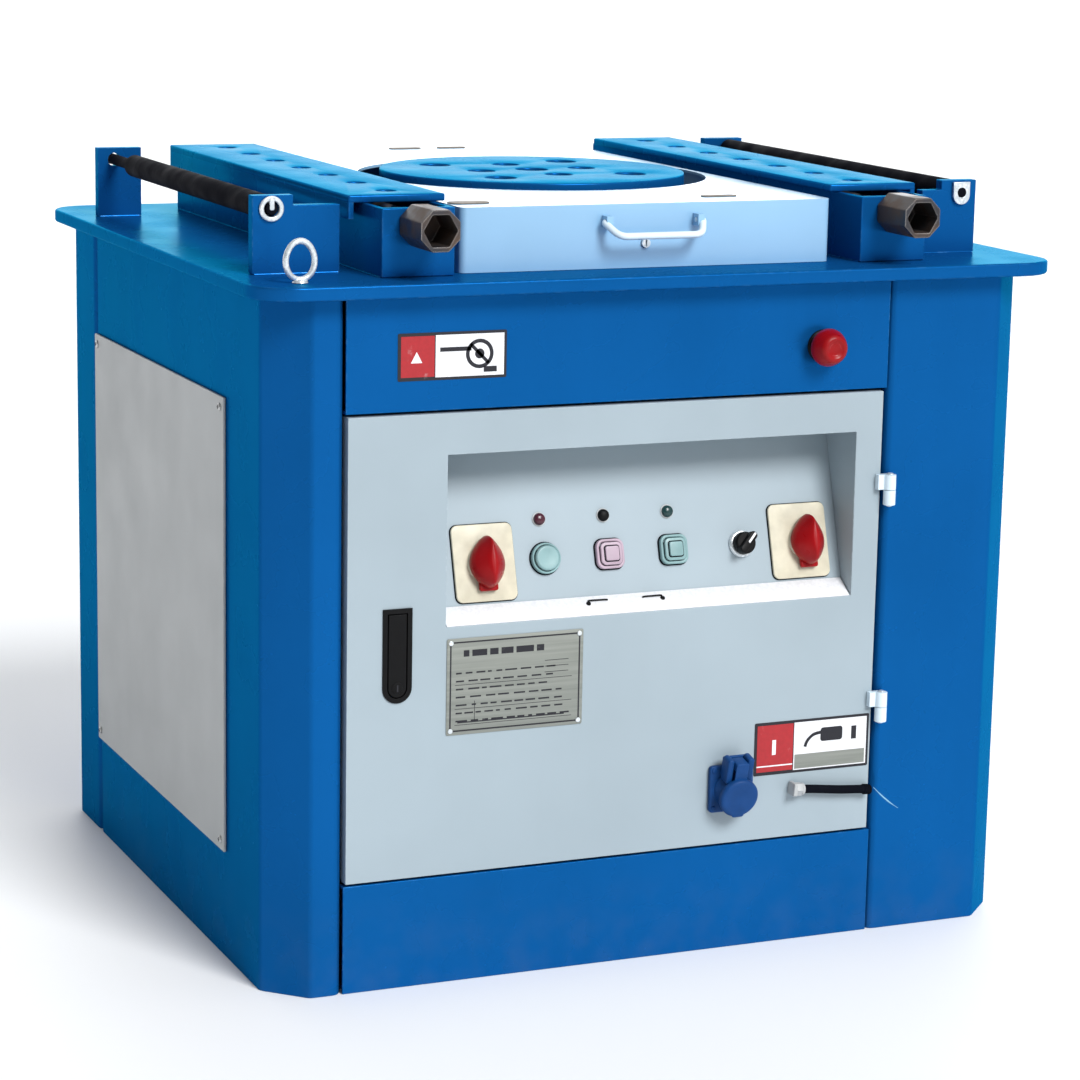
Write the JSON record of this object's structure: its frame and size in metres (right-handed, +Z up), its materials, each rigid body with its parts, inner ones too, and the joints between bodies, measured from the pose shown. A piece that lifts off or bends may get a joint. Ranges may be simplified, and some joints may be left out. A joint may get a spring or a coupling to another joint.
{
  "type": "rebar bender",
  "caption": "Floor-standing rebar bending machine: turning work disc on a steel deck, pin strips on feed screws, support rollers, and a sheet cabinet with a control door.",
  "frame": {"origin": "on the floor under the middle of the machine", "axes": "+X to the operator's right, along the longest side; +Y to the rear; +Z up"},
  "size_m": [0.882, 0.7996, 0.793],
  "materials": {
    "machine_blue": "gloss",
    "deep_blue": "satin",
    "door_white": "satin",
    "side_grey": "satin",
    "cover_white": "satin",
    "raw_steel": "satin",
    "zinc": "satin",
    "black_rubber": "matte",
    "black_plastic": "matte",
    "red_plastic": "gloss",
    "socket_blue": "satin",
    "green_plastic": "gloss",
    "pink_plastic": "gloss",
    "cast_iron": "matte",
    "cut_steel": "satin",
    "cream_plastic": "gloss",
    "label_red": "satin",
    "label_white": "satin",
    "label_black": "satin",
    "nameplate": "satin",
    "lamp_red": "gloss",
    "lamp_green": "gloss",
    "stud_bronze": "satin"
  },
  "bodies": {
    "frame": {"floor_pan": "deep_blue", "left_side_shell": "machine_blue", "right_side_shell": "machine_blue", "rear_left_post": "machine_blue", "rear_right_post": "machine_blue", "rear_panel": "machine_blue", "front_upper_panel": "machine_blue", "front_lower_panel": "machine_blue", "left_access_panel": "side_grey", "right_access_panel": "side_grey", "work_table": "machine_blue", "cover_hinge": "cut_steel", "front_left_lifting_eye": "zinc", "rear_right_lifting_eye": "zinc", "left_guide_channel": "machine_blue", "right_guide_channel": "machine_blue", "left_front_roller_bracket": "machine_blue", "left_rear_roller_bracket": "machine_blue", "right_front_roller_bracket": "machine_blue", "right_rear_roller_bracket": "machine_blue", "v_belt": "black_rubber", "gearbox_case": "cast_iron", "gearbox_lid": "cast_iron", "motor_frame": "deep_blue", "upper_hinge_fixed_half": "cover_white", "lower_hinge_fixed_half": "cover_white"},
    "cover": {"turntable_cover": "cover_white"},
    "cover_handle": {"cover_handle": "cover_white"},
    "cover_lock": {"cover_lock": "zinc"},
    "turntable": {"work_disc": "machine_blue", "main_shaft": "cut_steel", "bull_gear": "cast_iron"},
    "layshaft": {"layshaft_gears": "cast_iron"},
    "input_shaft": {"input_shaft": "cut_steel", "driven_pulley": "cast_iron"},
    "motor_rotor": {"drive_pulley": "cut_steel"},
    "left_roller": {"left_support_roller": "black_rubber"},
    "right_roller": {"right_support_roller": "black_rubber"},
    "left_strip": {"left_pin_strip": "machine_blue"},
    "right_strip": {"right_pin_strip": "machine_blue"},
    "left_screw": {"left_feed_screw": "raw_steel"},
    "right_screw": {"right_feed_screw": "raw_steel"},
    "door": {"door_shell": "door_white", "control_fascia": "door_white", "door_latch_body": "black_plastic", "upper_hinge_door_half": "cover_white", "lower_hinge_door_half": "cover_white", "socket_body": "socket_blue", "door_cable": "black_rubber", "cable_gland": "side_grey", "cable_boot": "black_rubber"},
    "latch_handle": {"door_latch_handle": "black_plastic"},
    "left_knob": {"left_rotary_knob": "red_plastic"},
    "right_knob": {"right_rotary_knob": "red_plastic"},
    "left_button": {"left_push_button": "green_plastic"},
    "middle_button": {"middle_push_button": "pink_plastic"},
    "right_button": {"right_push_button": "green_plastic"},
    "selector": {"selector_knob": "black_plastic"},
    "emergency_stop": {"emergency_stop": "red_plastic"},
    "socket_lid": {"socket_lid": "socket_blue"}
  },
  "joints": [
    {"name": "cover_hinge", "type": "hinge", "parent": "frame", "child": "cover", "pos_m": [0, 0.352, 0.724], "axis": [-1, 0, 0], "range_deg": [0, 75]},
    {"name": "cover_handle_swing", "type": "hinge", "parent": "cover", "child": "cover_handle", "pos_m": [-0.0075, -0.332, 0.764], "axis": [-1, 0, 0], "range_deg": [0, 100]},
    {"name": "cover_lock_turn", "type": "hinge", "parent": "cover", "child": "cover_lock", "pos_m": [-0.013, -0.325, 0.741], "axis": [0, -1, 0], "range_deg": [0, 90]},
    {"name": "turntable_spin", "type": "hinge", "parent": "frame", "child": "turntable", "pos_m": [0, 0, 0.775], "axis": [0, 0, 1], "continuous": true},
    {"name": "layshaft_spin", "type": "hinge", "parent": "frame", "child": "layshaft", "pos_m": [-0.14745, 0.10324, 0.62], "axis": [0, 0, 1], "continuous": true},
    {"name": "input_shaft_spin", "type": "hinge", "parent": "frame", "child": "input_shaft", "pos_m": [-0.03833, 0.16624, 0.54], "axis": [0, 0, 1], "continuous": true},
    {"name": "motor_spin", "type": "hinge", "parent": "frame", "child": "motor_rotor", "pos_m": [0.228, 0.19, 0.5], "axis": [0, 0, 1], "continuous": true},
    {"name": "left_roller_spin", "type": "hinge", "parent": "frame", "child": "left_roller", "pos_m": [-0.395, 0, 0.78], "axis": [0, 1, 0], "continuous": true},
    {"name": "right_roller_spin", "type": "hinge", "parent": "frame", "child": "right_roller", "pos_m": [0.374, 0, 0.78], "axis": [0, 1, 0], "continuous": true},
    {"name": "left_strip_slide", "type": "slide", "parent": "frame", "child": "left_strip", "axis": [0, 1, 0], "range_m": [-0.02, 0.02]},
    {"name": "left_screw_turn", "type": "hinge", "parent": "frame", "child": "left_screw", "pos_m": [-0.263, -0.36, 0.767], "axis": [0, 1, 0], "range_deg": [-1200, 1200]},
    {"name": "right_strip_slide", "type": "slide", "parent": "frame", "child": "right_strip", "axis": [0, 1, 0], "range_m": [-0.02, 0.02]},
    {"name": "right_screw_turn", "type": "hinge", "parent": "frame", "child": "right_screw", "pos_m": [0.263, -0.36, 0.767], "axis": [0, 1, 0], "range_deg": [-1200, 1200]},
    {"name": "door_swing", "type": "hinge", "parent": "frame", "child": "door", "pos_m": [0.2515, -0.3745, 0.35], "axis": [0, 0, 1], "range_deg": [0, 110]},
    {"name": "latch_handle_swing", "type": "hinge", "parent": "door", "child": "latch_handle", "pos_m": [-0.2915, -0.3675, 0.384], "axis": [-1, 0, 0], "range_deg": [0, 35]},
    {"name": "left_knob_turn", "type": "hinge", "parent": "door", "child": "left_knob", "pos_m": [-0.187, -0.33266, 0.42499], "axis": [0, -0.9576, 0.2882], "range_deg": [-60, 60]},
    {"name": "right_knob_turn", "type": "hinge", "parent": "door", "child": "right_knob", "pos_m": [0.174, -0.33266, 0.42499], "axis": [0, -0.9576, 0.2882], "range_deg": [-60, 60]},
    {"name": "left_button_press", "type": "slide", "parent": "door", "child": "left_button", "axis": [0, 0.9576, -0.2882], "range_m": [0, 0.004], "stiffness_N_per_m": 400, "springref_m": -0.002},
    {"name": "middle_button_press", "type": "slide", "parent": "door", "child": "middle_button", "axis": [0, 0.9576, -0.2882], "range_m": [0, 0.004], "stiffness_N_per_m": 400, "springref_m": -0.002},
    {"name": "right_button_press", "type": "slide", "parent": "door", "child": "right_button", "axis": [0, 0.9576, -0.2882], "range_m": [0, 0.004], "stiffness_N_per_m": 400, "springref_m": -0.002},
    {"name": "selector_turn", "type": "hinge", "parent": "door", "child": "selector", "pos_m": [0.102, -0.33238, 0.42595], "axis": [0, -0.9576, 0.2882], "range_deg": [-45, 45]},
    {"name": "emergency_stop_press", "type": "slide", "parent": "frame", "child": "emergency_stop", "axis": [0, 1, 0], "range_m": [0, 0.005], "stiffness_N_per_m": 1200, "springref_m": -0.001},
    {"name": "socket_lid_swing", "type": "hinge", "parent": "door", "child": "socket_lid", "pos_m": [0.079, -0.38717, 0.20609], "axis": [-1, 0, 0], "range_deg": [0, 100], "stiffness_Nm_per_rad": 0.05, "springref_deg": -28.65}
  ],
  "couplings": [
    {"joint": "layshaft_spin", "follows": "turntable_spin", "ratio": -5},
    {"joint": "input_shaft_spin", "follows": "turntable_spin", "ratio": 25},
    {"joint": "motor_spin", "follows": "turntable_spin", "ratio": 65.104},
    {"joint": "left_screw_turn", "follows": "left_strip_slide", "rad_per_m": -1047.2},
    {"joint": "right_screw_turn", "follows": "right_strip_slide", "rad_per_m": -1047.2}
  ]
}
